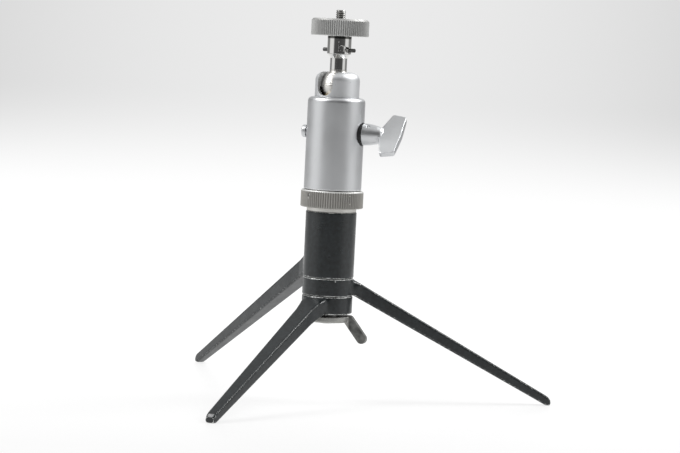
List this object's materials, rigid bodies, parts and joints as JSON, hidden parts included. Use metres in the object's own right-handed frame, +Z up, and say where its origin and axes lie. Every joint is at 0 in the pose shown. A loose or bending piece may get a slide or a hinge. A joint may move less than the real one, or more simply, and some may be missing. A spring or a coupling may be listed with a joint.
{
  "type": "table tripod with ball head",
  "caption": "Folding table tripod with cast legs that nest round one column, under a large ball head with a winged clamp knob and a knurled camera platform.",
  "frame": {"origin": "the point on the floor right under the column's axis, with the tripod standing on its three feet", "axes": "+Z up along the column to the camera screw, +X roughly along the middle ring's leg, and the viewer of the clamp knob's side at -Y"},
  "size_m": [0.2371, 0.2637, 0.2466],
  "materials": {
    "grey_paint": "hammered semi-gloss",
    "satin_aluminium": "satin anodised",
    "knurled_aluminium": "machined, dulled",
    "chrome": "polished",
    "steel": "turned",
    "bare_flange": "turned, bright",
    "worn_nut": "worn dark grey",
    "brass": "dull",
    "black_fibre": "matt black"
  },
  "bodies": {
    "base": {"column_leg": "grey_paint", "top_flange": "bare_flange", "centre_stud": "steel", "stud_pin": "steel", "column_washer": "brass", "stud_clip": "steel"},
    "middle_leg_ring": {"middle_leg": "grey_paint", "ring_washer": "brass"},
    "lower_leg_ring": {"lower_leg": "grey_paint"},
    "nut_washers": {"thrust_washer": "black_fibre", "spring_washer": "steel"},
    "nut": {"wing_nut": "worn_nut"},
    "head_seat": {"swivel_washer": "brass"},
    "base_ring": {"knurled_ring": "knurled_aluminium", "ring_grub": "steel"},
    "head": {"base_plate": "steel", "base_screw_1": "steel", "base_screw_2": "steel", "housing": "satin_aluminium", "core": "steel", "neck_washer": "brass", "knob_washer": "black_fibre"},
    "plunger": {"follower": "steel", "pressure_cup": "brass"},
    "clamp": {"cam_shaft": "steel", "clamp_knob": "satin_aluminium", "knob_pin": "steel", "end_cap": "satin_aluminium", "cap_washer": "black_fibre"},
    "socket": {"neck": "satin_aluminium"},
    "ball_shank": {"ball": "steel"},
    "stem_top": {"stem": "chrome", "platform_disc": "knurled_aluminium"},
    "sleeve": {"lock_sleeve": "chrome"},
    "screw": {"cross_pin": "steel", "camera_screw": "steel"}
  },
  "joints": [
    {"name": "middle_leg_swing", "type": "hinge", "parent": "base", "child": "middle_leg_ring", "pos_m": [0, 0, 0.0732], "axis": [0, 0, 1], "continuous": true},
    {"name": "lower_leg_swing", "type": "hinge", "parent": "base", "child": "lower_leg_ring", "pos_m": [0, 0, 0.0619], "axis": [0, 0, 1], "continuous": true},
    {"name": "nut_drop", "type": "slide", "parent": "base", "child": "nut_washers", "axis": [0, 0, -1], "range_m": [0, 0.00158]},
    {"name": "wing_nut_turn", "type": "hinge", "parent": "nut_washers", "child": "nut", "pos_m": [0, 0, 0.053], "axis": [0, 0, -1], "range_deg": [0, 360]},
    {"name": "head_lift", "type": "slide", "parent": "base", "child": "head_seat", "axis": [0, 0, 1], "range_m": [0, 0.00793]},
    {"name": "ring_turn", "type": "hinge", "parent": "head_seat", "child": "base_ring", "pos_m": [0, 0, 0.128], "axis": [0, 0, 1], "range_deg": [0, 1800]},
    {"name": "head_pan", "type": "hinge", "parent": "head_seat", "child": "head", "pos_m": [0, 0, 0.1341], "axis": [0, 0, 1], "continuous": true},
    {"name": "plunger_drop", "type": "slide", "parent": "head", "child": "plunger", "axis": [0, 0, -1], "range_m": [0, 0.0007]},
    {"name": "clamp_knob_turn", "type": "hinge", "parent": "head", "child": "clamp", "pos_m": [0, 0, 0.1699], "axis": [0.9563, -0.2924, 0], "range_deg": [0, 100.5]},
    {"name": "neck_turn", "type": "hinge", "parent": "head", "child": "socket", "pos_m": [0, 0, 0.1922], "axis": [0, 0, 1], "continuous": true},
    {"name": "ball_tilt", "type": "hinge", "parent": "socket", "child": "ball_shank", "pos_m": [0, 0, 0.1987], "axis": [0.7986, -0.6018, 0], "range_deg": [-12, 90]},
    {"name": "stem_spin", "type": "hinge", "parent": "ball_shank", "child": "stem_top", "pos_m": [0, 0, 0.21925], "axis": [0, 0, 1], "continuous": true},
    {"name": "lock_sleeve_turn", "type": "hinge", "parent": "stem_top", "child": "sleeve", "pos_m": [0, 0, 0.22425], "axis": [0, 0, 1], "range_deg": [0, 44.1]},
    {"name": "screw_lift", "type": "slide", "parent": "stem_top", "child": "screw", "axis": [0, 0, 1], "range_m": [0, 0.0012]}
  ],
  "couplings": [
    {"joint": "wing_nut_turn", "follows": "nut_drop", "rad_per_m": 3957.9},
    {"joint": "ring_turn", "follows": "head_lift", "rad_per_m": 3957.9},
    {"joint": "clamp_knob_turn", "follows": "plunger_drop", "rad_per_m": 2493.3},
    {"joint": "lock_sleeve_turn", "follows": "screw_lift", "rad_per_m": 639.95}
  ]
}
